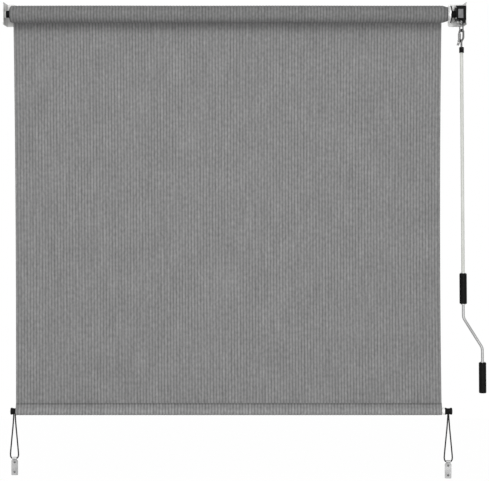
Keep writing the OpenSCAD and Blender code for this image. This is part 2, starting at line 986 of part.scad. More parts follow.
// Strap whose upper end is rolled into an eye for the cord; the eye's centre is the origin
module tie_plate() {
    color("silver")
        difference() {
            union() {
                rotate([90, 0, 90])
                    linear_extrude(eye_w, center = true)
                        difference() {
                            circle(d = eye_out);
                            circle(d = eye_in);
                            translate([eye_slit, -eye_out])
                                square([eye_slit, eye_out]);
                        }
                translate([0, eye_out / 2, 0])
                    rotate([90, 0, 0])
                        linear_extrude(tie_t) {
                            rounded_rect(-tie_w / 2, tie_w / 2, -tie_l, -tie_shoulder, tie_round);
                            translate([-eye_w / 2, -tie_shoulder - tie_round])
                                square([eye_w, tie_shoulder + tie_round]);
                        }
            }
            for (z = tie_hole_z)
                translate([0, eye_out, z])
                    rotate([90, 0, 0])
                        cylinder(d = tie_hole_d, h = 2 * eye_out);
        }
}

module tie_screws() {
    color("dimgray")
        for (z = tie_hole_z)
            translate([0, eye_out / 2 - tie_t, z])
                rotate([90, 0, 0])
                    screw(tie_head_d, tie_head_t, tie_hole_d - 2 * seat_clear, tie_shank_l);
}

module at_left_tie() {
    translate([left_cord_x, panel_y, hem_z - left_eye_drop])
        children();
}

module at_right_tie() {
    translate([right_cord_x, panel_y, hem_z - right_eye_drop])
        children();
}

module left_tie_plate() {
    at_left_tie()
        tie_plate();
}

module right_tie_plate() {
    at_right_tie()
        tie_plate();
}

module left_tie_screws() {
    at_left_tie()
        tie_screws();
}

module right_tie_screws() {
    at_right_tie()
        tie_screws();
}

// Crank

// Bow, tip, leg, neck and shank of one bent wire, with the lug that carries the gate
module crank_hook() {
    color("silver")
        at_hook()
            difference() {
                union() {
                    translate([0, 0, -bow_l])
                        rotate([90, 0, 0])
                            rotate_extrude(angle = 180)
                                translate([bow_r, 0])
                                    circle(d = hook_wire + 2 * bend_over);
                    translate([-bow_r, 0, -bow_l])
                        run(tip_l - lap, hook_wire);
                    translate([bow_r, 0, -bow_l])
                        run(leg_l, hook_wire)
                            bend_back(neck_r, neck_angle, hook_wire)
                                run(neck_run, hook_wire)
                                    bend(neck_r, neck_angle, hook_wire)
                                        run(shank_l, hook_wire);
                    rotate([90, 0, 0])
                        linear_extrude(lug_t, center = true)
                            lug_outline();
                }
                gate_bore(pivot_d + 2 * seat_clear);
            }
}

module lug_outline() {
    translate([-bow_r, -pivot_l])
        circle(r = lug_r);
    translate([-bow_r, -pivot_l - lug_r])
        square([bow_r + hook_wire / 2, 2 * lug_r]);
}

module gate_bore(d) {
    translate([-bow_r, 0, -pivot_l])
        rotate([90, 0, 0])
            cylinder(d = d, h = gate_w + 2 * cut, center = true);
}

// Sprung lever that closes the hook, with a thumb tail below its pivot
module hook_gate() {
    gate_top = bow_l + tip_l + gate_gap;
    color("whitesmoke")
        at_hook()
            difference() {
                rotate([90, 0, 0])
                    linear_extrude(gate_w, center = true) {
                        translate([-bow_r - gate_t / 2, -pivot_l])
                            square([gate_t, pivot_l - gate_top]);
                        translate([-bow_r, -pivot_l]) {
                            circle(r = gate_boss_r);
                            rotate(-tail_angle)
                                translate([-tail_t / 2, -tail_l])
                                    square([tail_t, tail_l]);
                        }
                    }
                translate([-bow_r, 0, -pivot_l])
                    cube([4 * gate_boss_r, gate_slot, 2 * (lug_r + lug_room)], center = true);
                gate_bore(pivot_d + 2 * run_clear);
            }
}

module gate_pin() {
    color("gray")
        at_hook()
            translate([-bow_r, 0, -pivot_l])
                rotate([90, 0, 0])
                    cylinder(d = pivot_d, h = gate_w + 2 * pivot_out, center = true);
}

// Wire wound round the pivot, beside the lug
module gate_spring() {
    r = pivot_d / 2 + run_clear + spring_wire / 2;
    start = lug_t / 2 + run_clear + spring_wire / 2;
    coil_pitch = spring_wire + spring_gap;
    steps = spring_turns * spring_steps;
    color("gray")
        at_hook()
            translate([-bow_r, 0, -pivot_l])
                swept([
                    for (i = [0 : steps])
                        let (a = 360 * i / spring_steps)
                            [r * cos(a), start + coil_pitch * i / spring_steps, r * sin(a)]
                ], spring_wire, spring_sides);
}

// Moulded collar that joins the hook to the pole
module crank_collar() {
    color("black")
        at_worm()
            translate([0, 0, -collar_top - collar_l])
                difference() {
                    rotate_extrude() {
                        square([collar_d / 2, collar_l - collar_round]);
                        square([collar_d / 2 - collar_round, collar_l]);
                        translate([collar_d / 2 - collar_round, collar_l - collar_round])
                            circle(r = collar_round);
                    }
                    translate([0, 0, -cut])
                        cylinder(d = pole_d + 2 * seat_clear, h = collar_l - collar_lip + cut);
                    cylinder(d = hook_wire + 2 * seat_clear, h = collar_l + cut);
                }
}

module crank_pole() {
    color("ivory")
        at_worm()
            translate([0, 0, -pole_end])
                difference() {
                    cylinder(d = pole_d, h = pole_end - pole_top);
                    translate([0, 0, -cut])
                        cylinder(d = pole_bore, h = pole_end - pole_top + 2 * cut);
                }
}

// Rod with the crank's two bends; its top is fixed inside the pole
module crank_rod() {
    color("silver")
        at_worm()
            translate([0, 0, -rod_top])
                run(bend_top - rod_top, rod_d)
                    bend(bend_r, bend_angle, rod_d)
                        run(slant_l, rod_d)
                            bend_back(bend_r, bend_angle, rod_d)
                                run(rod_end - bend_top - bend_drop, rod_d);
}

// Half section of a grip, from its top at z = 0 downwards
module grip_section(bore, depth) {
    difference() {
        intersection() {
            rounded_rect(-grip_d / 2, grip_d / 2, -grip_l, 0, grip_round);
            translate([0, -grip_l])
                square([grip_d, grip_l]);
        }
        translate([-cut, -depth])
            square([bore / 2 + cut, depth + cut]);
    }
}

module upper_grip() {
    color("black")
        at_worm()
            translate([0, 0, -upper_grip_top])
                rotate_extrude()
                    grip_section(pole_d + 2 * run_clear, grip_l + cut);
}

module lower_grip() {
    color("black")
        at_worm()
            translate([throw, 0, -lower_grip_top])
                rotate_extrude()
                    grip_section(rod_d + 2 * run_clear, grip_l - grip_wall_end);
}

// Washers that keep the grips in place along the pole and the rod
module grip_washers() {
    color("gray")
        at_worm() {
            washer(0, upper_grip_top - washer_gap - washer_t, pole_d);
            washer(0, upper_grip_end + washer_gap, rod_d);
            washer(throw, lower_grip_top - washer_gap - washer_t, rod_d);
        }
}

module washer(x, l, bore) {
    translate([x, 0, -l - washer_t])
        difference() {
            cylinder(d = washer_d, h = washer_t);
            translate([0, 0, -cut])
                cylinder(d = bore + 2 * seat_clear, h = washer_t + 2 * cut);
        }
}

left_bracket();
right_bracket();
idler_bush();
gearbox_housing();
gearbox_cover();
cover_screws();
gearbox_screws();
worm_bush();
front_plate();
roller_tube();
fabric_roll();
idler_plug();
idler_pin();
drive_plug();
drive_flange();
drive_shaft();
worm_wheel();
worm_shaft();
worm_eye();
eye_pin();
shade_panel();
hem_pocket();
hem_tube();
left_hem_cap();
right_hem_cap();
left_cord();
right_cord();
left_tie_plate();
right_tie_plate();
left_tie_screws();
right_tie_screws();
crank_hook();
hook_gate();
gate_pin();
gate_spring();
crank_collar();
crank_pole();
crank_rod();
upper_grip();
lower_grip();
grip_washers();
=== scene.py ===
import json
import math

import bpy
import numpy as np
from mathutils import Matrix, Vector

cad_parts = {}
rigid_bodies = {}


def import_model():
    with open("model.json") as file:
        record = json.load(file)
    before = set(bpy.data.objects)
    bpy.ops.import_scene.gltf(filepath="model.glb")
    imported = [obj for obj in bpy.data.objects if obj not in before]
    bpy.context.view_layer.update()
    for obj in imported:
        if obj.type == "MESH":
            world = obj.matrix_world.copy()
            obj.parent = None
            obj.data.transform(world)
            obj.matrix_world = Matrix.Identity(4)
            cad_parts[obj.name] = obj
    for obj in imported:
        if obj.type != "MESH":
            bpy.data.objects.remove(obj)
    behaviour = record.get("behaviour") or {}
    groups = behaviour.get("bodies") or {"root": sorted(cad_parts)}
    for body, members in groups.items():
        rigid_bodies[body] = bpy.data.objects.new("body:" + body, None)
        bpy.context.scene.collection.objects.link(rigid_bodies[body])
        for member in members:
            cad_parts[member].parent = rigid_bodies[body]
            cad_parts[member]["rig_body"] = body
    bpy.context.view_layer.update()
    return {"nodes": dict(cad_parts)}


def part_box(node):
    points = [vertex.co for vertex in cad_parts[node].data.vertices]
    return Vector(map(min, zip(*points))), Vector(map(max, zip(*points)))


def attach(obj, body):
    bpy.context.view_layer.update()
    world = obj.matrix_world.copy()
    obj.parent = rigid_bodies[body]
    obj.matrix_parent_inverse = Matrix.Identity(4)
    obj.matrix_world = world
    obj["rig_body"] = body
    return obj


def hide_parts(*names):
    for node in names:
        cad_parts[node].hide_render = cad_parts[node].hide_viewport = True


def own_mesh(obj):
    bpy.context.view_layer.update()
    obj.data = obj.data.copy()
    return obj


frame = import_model()
nodes = frame["nodes"]
print("shade: frame loaded,", len(nodes), "nodes")


# small helpers for working by hand in object and edit mode

mergeWithin = 0.00001


def clearPick():
    if bpy.context.mode != "OBJECT":
        bpy.ops.object.mode_set(mode="OBJECT")
    bpy.ops.object.select_all(action="DESELECT")


def pick(obj):
    clearPick()
    obj.select_set(True)
    bpy.context.view_layer.objects.active = obj


def placeInMesh(obj):
    pick(obj)
    bpy.ops.object.transform_apply(location=True, rotation=True, scale=True)


def applyAll(obj):
    pick(obj)
    for modifier in list(obj.modifiers):
        bpy.ops.object.modifier_apply(modifier=modifier.name)


def cleanNormals(obj):
    pick(obj)
    bpy.ops.object.mode_set(mode="EDIT")
    bpy.ops.mesh.select_all(action="SELECT")
    bpy.ops.mesh.remove_doubles(threshold=mergeWithin)
    bpy.ops.mesh.normals_make_consistent(inside=False)
    bpy.ops.object.mode_set(mode="OBJECT")


def smoothSides(obj, degrees=35):
    pick(obj)
    bpy.ops.object.shade_smooth_by_angle(angle=math.radians(degrees))


def setMaterial(obj, material):
    obj.data.materials.clear()
    obj.data.materials.append(material)


# camera: straight on, far off, its horizon above the middle of the frame

photoView = {
    "place": (0.034, -5.0, -0.592),
    "lens": 102.3,
    "sensor": 36.0,
    "shiftY": -0.1227,
    "farClip": 50,
}

bpy.ops.object.camera_add(location=photoView["place"], rotation=(math.pi / 2, 0, 0))
viewer = bpy.context.object
viewer.name = "photoCamera"
viewer.data.sensor_width = photoView["sensor"]
viewer.data.lens = photoView["lens"]
viewer.data.shift_y = photoView["shiftY"]
viewer.data.clip_end = photoView["farClip"]
bpy.context.scene.camera = viewer
print("shade: camera set")


# materials

noiseSpan = (0.3, 0.7)     # where most of a noise's values lie
noiseDetail = 4


def startMaterial(name):
    material = bpy.data.materials.new(name)
    material.use_nodes = True
    tree = material.node_tree
    return material, tree, tree.nodes["Principled BSDF"]


def addNode(tree, kind, **values):
    node = tree.nodes.new(kind)
    for key, value in values.items():
        setattr(node, key, value)
    return node


def feed(tree, socket, value):
    if isinstance(value, (int, float)):
        socket.default_value = value
    else:
        tree.links.new(value, socket)


def doMath(tree, operation, a, b=None):
    node = addNode(tree, "ShaderNodeMath", operation=operation)
    feed(tree, node.inputs[0], a)
    if b is not None:
        feed(tree, node.inputs[1], b)
    return node.outputs[0]


def remap(tree, value, low, high, toLow, toHigh):
    node = addNode(tree, "ShaderNodeMapRange")
    feed(tree, node.inputs["Value"], value)
    for key, number in zip(("From Min", "From Max", "To Min", "To Max"), (low, high, toLow, toHigh)):
        node.inputs[key].default_value = number
    return node.outputs["Result"]


def objectNoise(tree, scale, stretch=(1, 1, 1)):
    where = addNode(tree, "ShaderNodeTexCoord")
    turn = addNode(tree, "ShaderNodeMapping")
    turn.inputs["Scale"].default_value = stretch
    tree.links.new(where.outputs["Object"], turn.inputs["Vector"])
    noise = addNode(tree, "ShaderNodeTexNoise")
    noise.inputs["Scale"].default_value = scale
    noise.inputs["Detail"].default_value = noiseDetail
    tree.links.new(turn.outputs["Vector"], noise.inputs["Vector"])
    return noise.outputs["Fac"]


def twoTones(tree, value, dark, light):
    ramp = addNode(tree, "ShaderNodeValToRGB")
    for element, place, tone in zip(ramp.color_ramp.elements, noiseSpan, (dark, light)):
        element.position = place
        element.color = (*tone, 1)
    tree.links.new(value, ramp.inputs["Fac"])
    return ramp.outputs["Color"]


def addBump(tree, shader, height, strength, distance):
    bump = addNode(tree, "ShaderNodeBump")
    bump.inputs["Strength"].default_value = strength
    bump.inputs["Distance"].default_value = distance
    tree.links.new(height, bump.inputs["Height"])
    tree.links.new(bump.outputs["Normal"], shader.inputs["Normal"])


# one recipe for the hard finishes: two close tones, a roughness that varies, a fine surface
hardRecipe = {"broadShare": 0.12, "gloss": 0.5, "grainHeight": 0.0004}
hardFinishes = {
    "zincSheet": {
        "dark": (0.45, 0.45, 0.445), "light": (0.61, 0.61, 0.60), "metal": 0.55,
        "rough": (0.34, 0.5), "grain": 180, "stretch": (1, 1, 1), "bump": 0.04},
    "mouldedBlack": {
        "dark": (0.003, 0.003, 0.003), "light": (0.008, 0.008, 0.008), "metal": 0.0, "gloss": 0.05,
        "rough": (0.38, 0.52), "grain": 900, "stretch": (1, 1, 1), "bump": 0.18},
    "greyInsert": {
        "dark": (0.088, 0.088, 0.092), "light": (0.132, 0.132, 0.136), "metal": 0.0,
        "rough": (0.3, 0.42), "grain": 700, "stretch": (1, 1, 1), "bump": 0.12},
    "platedSteel": {
        "dark": (0.46, 0.46, 0.46), "light": (0.62, 0.62, 0.61), "metal": 0.9,
        "rough": (0.28, 0.42), "grain": 260, "stretch": (1, 1, 1), "bump": 0.05},
    "zincStrap": {
        "dark": (0.30, 0.30, 0.30), "light": (0.45, 0.45, 0.45), "metal": 0.8,
        "rough": (0.32, 0.46), "grain": 260, "stretch": (1, 1, 1), "bump": 0.05},
    "darkScrew": {
        "dark": (0.11, 0.11, 0.11), "light": (0.17, 0.17, 0.17), "metal": 0.7,
        "rough": (0.36, 0.5), "grain": 320, "stretch": (1, 1, 1), "bump": 0.05},
    "turnedBrass": {
        "dark": (0.42, 0.29, 0.10), "light": (0.58, 0.42, 0.17), "metal": 1.0,
        "rough": (0.28, 0.4), "grain": 300, "stretch": (1, 1, 6), "bump": 0.05},
    "drawnTube": {
        "dark": (0.58, 0.58, 0.58), "light": (0.76, 0.76, 0.76), "metal": 0.75,
        "rough": (0.26, 0.38), "grain": 220, "stretch": (0.04, 1, 1), "bump": 0.05},
    "paleHem": {
        "dark": (0.70, 0.70, 0.69), "light": (0.82, 0.82, 0.81), "metal": 0.2,
        "rough": (0.32, 0.44), "grain": 200, "stretch": (0.05, 1, 1), "bump": 0.04},
    "eyeSteel": {
        "dark": (0.10, 0.10, 0.10), "light": (0.20, 0.20, 0.20), "metal": 1.0,
        "rough": (0.18, 0.3), "grain": 240, "stretch": (1, 1, 1), "bump": 0.02},
    "hookSteel": {
        "dark": (0.08, 0.08, 0.08), "light": (0.15, 0.15, 0.15), "metal": 1.0,
        "rough": (0.2, 0.32), "grain": 240, "stretch": (1, 1, 1), "bump": 0.02},
    "castGate": {
        "dark": (0.24, 0.24, 0.24), "light": (0.34, 0.34, 0.34), "metal": 0.8,
        "rough": (0.34, 0.48), "grain": 420, "stretch": (1, 1, 1), "bump": 0.08},
    "paleNylon": {
        "dark": (0.46, 0.46, 0.45), "light": (0.56, 0.56, 0.55), "metal": 0.0,
        "rough": (0.42, 0.55), "grain": 600, "stretch": (1, 1, 1), "bump": 0.08},
    "ivoryPaint": {
        "dark": (0.42, 0.425, 0.40), "light": (0.48, 0.485, 0.46), "metal": 0.0, "gloss": 0.3,
        "rough": (0.26, 0.36), "grain": 420, "stretch": (1, 1, 0.3), "bump": 0.05},
    "satinRod": {
        "dark": (0.26, 0.26, 0.26), "light": (0.35, 0.35, 0.35), "metal": 0.6,
        "rough": (0.3, 0.42), "grain": 260, "stretch": (1, 1, 0.1), "bump": 0.04},
    "gripBlack": {
        "dark": (0.002, 0.002, 0.002), "light": (0.006, 0.006, 0.006), "metal": 0.0, "gloss": 0.05,
        "rough": (0.34, 0.46), "grain": 1100, "stretch": (1, 1, 1), "bump": 0.2},
    "seamThread": {
        "dark": (0.10, 0.10, 0.10), "light": (0.19, 0.19, 0.19), "metal": 0.0,
        "rough": (0.7, 0.85), "grain": 1500, "stretch": (1, 1, 1), "bump": 0.3},
}


def hardMaterial(name):
    look = hardFinishes[name]
    material, tree, shader = startMaterial(name)
    broad = objectNoise(tree, look["grain"] * hardRecipe["broadShare"], look["stretch"])
    fine = objectNoise(tree, look["grain"], look["stretch"])
    tree.links.new(twoTones(tree, broad, look["dark"], look["light"]), shader.inputs["Base Color"])
    tree.links.new(remap(tree, fine, *noiseSpan, *look["rough"]), shader.inputs["Roughness"])
    shader.inputs["Metallic"].default_value = look["metal"]
    shader.inputs["Specular IOR Level"].default_value = look.get("gloss", hardRecipe["gloss"])
    addBump(tree, shader, fine, look["bump"], hardRecipe["grainHeight"])
    return material


finishes = {name: hardMaterial(name) for name in hardFinishes}

# knitted cloth: lengthwise ribs, rows of small stitches, a soft unevenness; UV is in metres
clothLook = {
    "ribPitch": 0.011,
    "stitchAcross": 0.00275,
    "stitchAlong": 0.0036,
    "ribTone": (0.72, 1.075),    # between the ribs, on the ribs
    "stitchTone": (0.92, 1.06),
    "mottle": (0.96, 1.04),
    "streak": (0.90, 1.10),      # lengthwise bands of the yarn
    "fleck": (0.83, 1.17),       # uneven stitches
    "ribSpan": (-0.9, 0.1),      # the part of the rib's wave between its two tones
    "loopBow": 0.0006,           # how far a row of stitches bows between two wales
    "loopShare": 0.55,
    "yarnShare": 0.45,
    "mottleScale": 9,
    "streakScale": 110,
    "streakStretch": (1, 0.07, 1),
    "fleckScale": 110,
    "fleckStretch": (1, 0.7, 1),
    "grey": (0.171, 0.171, 0.171),
    "rough": 0.8,
    "gloss": 0.25,
    "bump": (0.35, 0.0006),      # strength and height
}


def waveOf(tree, value, pitch):
    turned = doMath(tree, "MULTIPLY", value, 2 * math.pi / pitch)
    return doMath(tree, "SINE", turned)


def clothNoise(tree, where, scale, stretch):
    stretchUv = addNode(tree, "ShaderNodeMapping")
    stretchUv.inputs["Scale"].default_value = stretch
    tree.links.new(where.outputs["UV"], stretchUv.inputs["Vector"])
    noise = addNode(tree, "ShaderNodeTexNoise")
    noise.inputs["Scale"].default_value = scale
    noise.inputs["Detail"].default_value = noiseDetail
    tree.links.new(stretchUv.outputs["Vector"], noise.inputs["Vector"])
    return noise.outputs["Fac"]


def clothMaterial():
    material, tree, shader = startMaterial("knittedCloth")
    where = addNode(tree, "ShaderNodeUVMap", uv_map="clothMetres")
    split = addNode(tree, "ShaderNodeSeparateXYZ")
    tree.links.new(where.outputs["UV"], split.inputs["Vector"])
    across, along = split.outputs["X"], split.outputs["Y"]
    bow = doMath(tree, "MULTIPLY", waveOf(tree, across, 2 * clothLook["stitchAcross"]), clothLook["loopBow"])
    rib = waveOf(tree, across, clothLook["ribPitch"])
    loops = waveOf(tree, doMath(tree, "ADD", along, bow), clothLook["stitchAlong"])
    yarn = waveOf(tree, across, clothLook["stitchAcross"])
    stitch = doMath(tree, "ADD", doMath(tree, "MULTIPLY", loops, clothLook["loopShare"]),
                    doMath(tree, "MULTIPLY", yarn, clothLook["yarnShare"]))
    mottle = objectNoise(tree, clothLook["mottleScale"])
    tone = doMath(tree, "MULTIPLY", remap(tree, rib, *clothLook["ribSpan"], *clothLook["ribTone"]),
                  remap(tree, stitch, -1, 1, *clothLook["stitchTone"]))
    tone = doMath(tree, "MULTIPLY", tone, remap(tree, mottle, *noiseSpan, *clothLook["mottle"]))
    for kind in ("streak", "fleck"):
        noise = clothNoise(tree, where, clothLook[kind + "Scale"], clothLook[kind + "Stretch"])
        tone = doMath(tree, "MULTIPLY", tone, remap(tree, noise, *noiseSpan, *clothLook[kind]))
    # painted light and shade carried on the mesh: the roll and the seam band darkened, the lower pocket
    # paled
    shade = addNode(tree, "ShaderNodeAttribute", attribute_name="paintedShadeAndLight")
    tone = doMath(tree, "MULTIPLY", tone, shade.outputs["Fac"])
    paint = addNode(tree, "ShaderNodeMix", data_type="RGBA", blend_type="MULTIPLY")
    paint.inputs["Factor"].default_value = 1
    paint.inputs["A"].default_value = (*clothLook["grey"], 1)
    tree.links.new(tone, paint.inputs["B"])
    tree.links.new(paint.outputs["Result"], shader.inputs["Base Color"])
    shader.inputs["Roughness"].default_value = clothLook["rough"]
    shader.inputs["Specular IOR Level"].default_value = clothLook["gloss"]
    addBump(tree, shader, stitch, *clothLook["bump"])
    return material


# elastic cord: a braid of two tones round the cord
braidLook = {
    "dark": (0.008, 0.008, 0.008),
    "light": (0.03, 0.03, 0.03),
    "pick": 900,
    "turn": (0, math.radians(45), math.radians(20)),
    "rough": 0.75,
    "gloss": 0.15,
    "bump": (0.3, 0.0003),       # strength and height
}


def braidMaterial():
    material, tree, shader = startMaterial("elasticBraid")
    where = addNode(tree, "ShaderNodeTexCoord")
    weave = addNode(tree, "ShaderNodeTexChecker")
    weave.inputs["Scale"].default_value = braidLook["pick"]
    weave.inputs["Color1"].default_value = (*braidLook["dark"], 1)
    weave.inputs["Color2"].default_value = (*braidLook["light"], 1)
    turn = addNode(tree, "ShaderNodeMapping")
    turn.inputs["Rotation"].default_value = braidLook["turn"]
    tree.links.new(where.outputs["Object"], turn.inputs["Vector"])
    tree.links.new(turn.outputs["Vector"], weave.inputs["Vector"])
    tree.links.new(weave.outputs["Color"], shader.inputs["Base Color"])
    shader.inputs["Roughness"].default_value = braidLook["rough"]
    shader.inputs["Specular IOR Level"].default_value = braidLook["gloss"]
    addBump(tree, shader, weave.outputs["Fac"], *braidLook["bump"])
    return material


finishes["knittedCloth"] = clothMaterial()
finishes["elasticBraid"] = braidMaterial()
print("shade: materials ready,", len(finishes))


# finish of every solid that is neither cloth nor cord

nodeFinish = {
    "zincSheet": ["left_bracket", "right_bracket"],
    "mouldedBlack": ["worm_bush", "gearbox_housing", "gearbox_cover", "drive_flange", "left_hem_cap",
                     "right_hem_cap", "crank_collar", "idler_plug"],
    "paleNylon": ["idler_bush"],
    "greyInsert": ["front_plate"],
    "platedSteel": ["cover_screws", "gearbox_screws", "idler_pin", "drive_shaft", "worm_shaft", "eye_pin",
                    "gate_pin", "gate_spring", "grip_washers"],
    "zincStrap": ["left_tie_plate", "right_tie_plate"],
    "darkScrew": ["left_tie_screws", "right_tie_screws"],
    "turnedBrass": ["worm_wheel"],
    "drawnTube": ["roller_tube", "drive_plug"],
    "paleHem": ["hem_tube"],
    "eyeSteel": ["worm_eye"],
    "hookSteel": ["crank_hook"],
    "castGate": ["hook_gate"],
    "ivoryPaint": ["crank_pole"],
    "satinRod": ["crank_rod"],
    "gripBlack": ["upper_grip", "lower_grip"],
}

finishOf = {member: finish for finish, members in nodeFinish.items() for member in members}
for member, finish in finishOf.items():
    setMaterial(nodes[member], finishes[finish])
print("shade: solids finished")


# folded, cast and moulded pieces: the same shapes with their sharp edges rounded

softEdges = {
    "radius": {
        "left_bracket": 0.0005, "right_bracket": 0.0005, "gearbox_housing": 0.0011, "gearbox_cover": 0.0011,
        "front_plate": 0.0005, "left_tie_plate": 0.0004, "right_tie_plate": 0.0004, "hook_gate": 0.0007,
    },
    "steps": 2,
    "sharperThan": 40,     # degrees, and so are the next two
    "smoothBelow": 60,
    "flatWithin": 0.5,
}


def plainName(node):
    first, *rest = node.split("_")
    return first + "".join(word.capitalize() for word in rest)


def standFor(piece, node):
    setMaterial(piece, finishes[finishOf[node]])
    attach(piece, nodes[node]["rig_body"])
    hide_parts(node)


def looseCopy(node):
    piece = bpy.data.objects.new(plainName(node), nodes[node].data.copy())
    bpy.context.collection.objects.link(piece)
    pick(piece)
    bpy.ops.mesh.customdata_custom_splitnormals_clear()
    bpy.ops.object.mode_set(mode="EDIT")
    bpy.ops.mesh.select_all(action="SELECT")
    bpy.ops.mesh.remove_doubles(threshold=mergeWithin)
    bpy.ops.mesh.dissolve_limited(angle_limit=math.radians(softEdges["flatWithin"]))
    bpy.ops.object.mode_set(mode="OBJECT")
    return piece


def softened(node):
    piece = looseCopy(node)
    rounding = piece.modifiers.new("edges", "BEVEL")
    rounding.width = softEdges["radius"][node]
    rounding.segments = softEdges["steps"]
    rounding.limit_method = "ANGLE"
    rounding.angle_limit = math.radians(softEdges["sharperThan"])
    applyAll(piece)
    smoothSides(piece, softEdges["smoothBelow"])
    evenOut = piece.modifiers.new("flatFaces", "WEIGHTED_NORMAL")
    evenOut.keep_sharp = True
    applyAll(piece)
    standFor(piece, node)
    return piece


standIns = {node: softened(node) for node in softEdges["radius"]}
print("shade: edges softened,", len(standIns))


# screws: a cross recess in every head

crossRecess = {
    "long": 0.58, "wide": 0.15, "deep": 0.1,     # shares of the head's width
    "heads": {
        "cover_screws": (-1, 0, 0), "gearbox_screws": (1, 0, 0),
        "left_tie_screws": (0, -1, 0), "right_tie_screws": (0, -1, 0),
    },
}


def cutCross(screw, facing):
    corners = np.array(screw.bound_box)
    low, high = corners.min(axis=0), corners.max(axis=0)
    facing = np.array(facing)
    sideways = 1 - np.abs(facing)     # the two directions across the head
    head = ((high - low) * sideways).max()
    tip = np.where(facing > 0, high, np.where(facing < 0, low, (low + high) / 2))
    for bar in np.eye(3)[sideways > 0]:
        sizes = np.where(bar > 0, crossRecess["long"], crossRecess["wide"])
        sizes = np.where(sideways > 0, sizes, 2 * crossRecess["deep"]) * head
        clearPick()
        bpy.ops.mesh.primitive_cube_add(size=1, location=tip)
        cutter = bpy.context.object
        cutter.scale = sizes
        placeInMesh(cutter)
        slot = screw.modifiers.new("slot", "BOOLEAN")
        slot.operation = "DIFFERENCE"
        slot.object = cutter
        applyAll(screw)
        bpy.data.objects.remove(cutter)


def recessed(node):
    screws = looseCopy(node)
    bpy.ops.object.mode_set(mode="EDIT")
    bpy.ops.mesh.separate(type="LOOSE")
    bpy.ops.object.mode_set(mode="OBJECT")
    loose = list(bpy.context.selected_objects)
    for screw in loose:
        cutCross(screw, crossRecess["heads"][node])
    pick(screws)
    for screw in loose:
        screw.select_set(True)
    bpy.ops.object.join()
    smoothSides(screws)
    standFor(screws, node)
    return screws


standIns.update({node: recessed(node) for node in crossRecess["heads"]})
print("shade: screw heads cut")


# elastic tie-downs, on the same route as the solids; millimetres from the middle of a cap

millimetre = 0.001

tieCord = {
    "radius": 0.0025,
    "sides": 3,         # steps in a quarter of the cord's round
    "half": [
        (-2.1, -3.8, -6), (-2.1, -3.8, -13), (-2.6, -3.7, -24), (-3.9, -3.3, -42), (-5.6, -2.8, -62),
        (-7.8, -2.2, -84), (-10, -1.6, -106), (-12.1, -0.9, -128), (-13.9, -0.3, -147), (-14.5, 0, -156.5),
        (-13.6, 0, -163), (-11.2, 0, -167.6), (-7.8, 0, -169.7), (-3.8, 0, -170), (0, 0, -170),
    ],
    "still": -13,       # above this height the route doesn't stretch
    "usual": -170,
    "drops": {"left": -169, "right": -181},
    "capHalf": 0.0135,  # from the end of the hem tube to the middle of a cap
}


def cordRoute(side):
    still, usual, drop = tieCord["still"], tieCord["usual"], tieCord["drops"][side]
    down = []
    for x, y, z in tieCord["half"]:
        if z < still:
            z = still + (z - still) * (drop - still) / (usual - still)
        down.append((x, y, z))
    back = [(-x, -y, z) for x, y, z in reversed(down[:-1])]
    cap = np.array(hemEnds[side])
    return [tuple(cap + millimetre * np.array(place)) for place in down + back]


tubeLow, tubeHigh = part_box("hem_tube")
hemY = (tubeLow[1] + tubeHigh[1]) / 2
hemZ = (tubeLow[2] + tubeHigh[2]) / 2
hemEnds = {
    "left": (tubeLow[0] - tieCord["capHalf"], hemY, hemZ),
    "right": (tubeHigh[0] + tieCord["capHalf"], hemY, hemZ),
}

for side in ("left", "right"):
    route = cordRoute(side)
    cordCurve = bpy.data.curves.new(side + "TieCord", "CURVE")
    cordCurve.dimensions = "3D"
    cordCurve.bevel_depth = tieCord["radius"]
    cordCurve.bevel_resolution = tieCord["sides"]
    cordCurve.use_fill_caps = True
    strand = cordCurve.splines.new("POLY")
    strand.points.add(len(route) - 1)
    for point, place in zip(strand.points, route):
        point.co = (*place, 1)
    tie = bpy.data.objects.new(side + "TieCord", cordCurve)
    bpy.context.collection.objects.link(tie)
    setMaterial(tie, finishes["elasticBraid"])
    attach(tie, "hem")
    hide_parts(side + "_cord")
print("shade: tie-downs laid")


# cloth pieces share one grid maker: columns follow the ribs, rows follow the length of the cloth

ribShape = {
    "pitch": clothLook["ribPitch"],
    "height": 0.0005,
    "marks": [(0.0, 0.0), (0.15, 1.0), (0.5, 1.0), (0.65, 0.0)],   # share of the pitch, share of the height
}


def ribProfile(width):
    count = int(width / ribShape["pitch"])
    across = [(i + m) * ribShape["pitch"] for i in range(count) for m, _ in ribShape["marks"]] + [width]
    height = [h * ribShape["height"] for i in range(count) for _, h in ribShape["marks"]] + [0.0]
    return np.array(across), np.array(height)


def clothGrid(name, columns, rows):
    clearPick()
    bpy.ops.mesh.primitive_grid_add(x_subdivisions=columns - 1, y_subdivisions=rows - 1, size=2)
    cloth = bpy.context.object
    cloth.name = name
    cloth.data.name = name
    flat = np.zeros(columns * rows * 3)
    cloth.data.vertices.foreach_get("co", flat)
    flat = flat.reshape(-1, 3)
    column = np.rint((flat[:, 0] + 1) / 2 * (columns - 1)).astype(int)
    row = np.rint((flat[:, 1] + 1) / 2 * (rows - 1)).astype(int)
    return cloth, column, row


def shapeCloth(cloth, places, metres, shade):
    mesh = cloth.data
    mesh.vertices.foreach_set("co", np.ascontiguousarray(places, dtype=np.float32).ravel())
    while mesh.uv_layers:
        mesh.uv_layers.remove(mesh.uv_layers[0])
    layer = mesh.uv_layers.new(name="clothMetres")
    corner = np.zeros(len(mesh.loops), dtype=np.int32)
    mesh.loops.foreach_get("vertex_index", corner)
    layer.data.foreach_set("uv", np.ascontiguousarray(metres[corner], dtype=np.float32).ravel())
    # painted light and shade, one value a vertex, multiplied into the cloth's colour
    tone = mesh.attributes.new("paintedShadeAndLight", "FLOAT", "POINT")
    tone.data.foreach_set("value", np.ascontiguousarray(shade, dtype=np.float32))
    mesh.update()


# hanging cloth

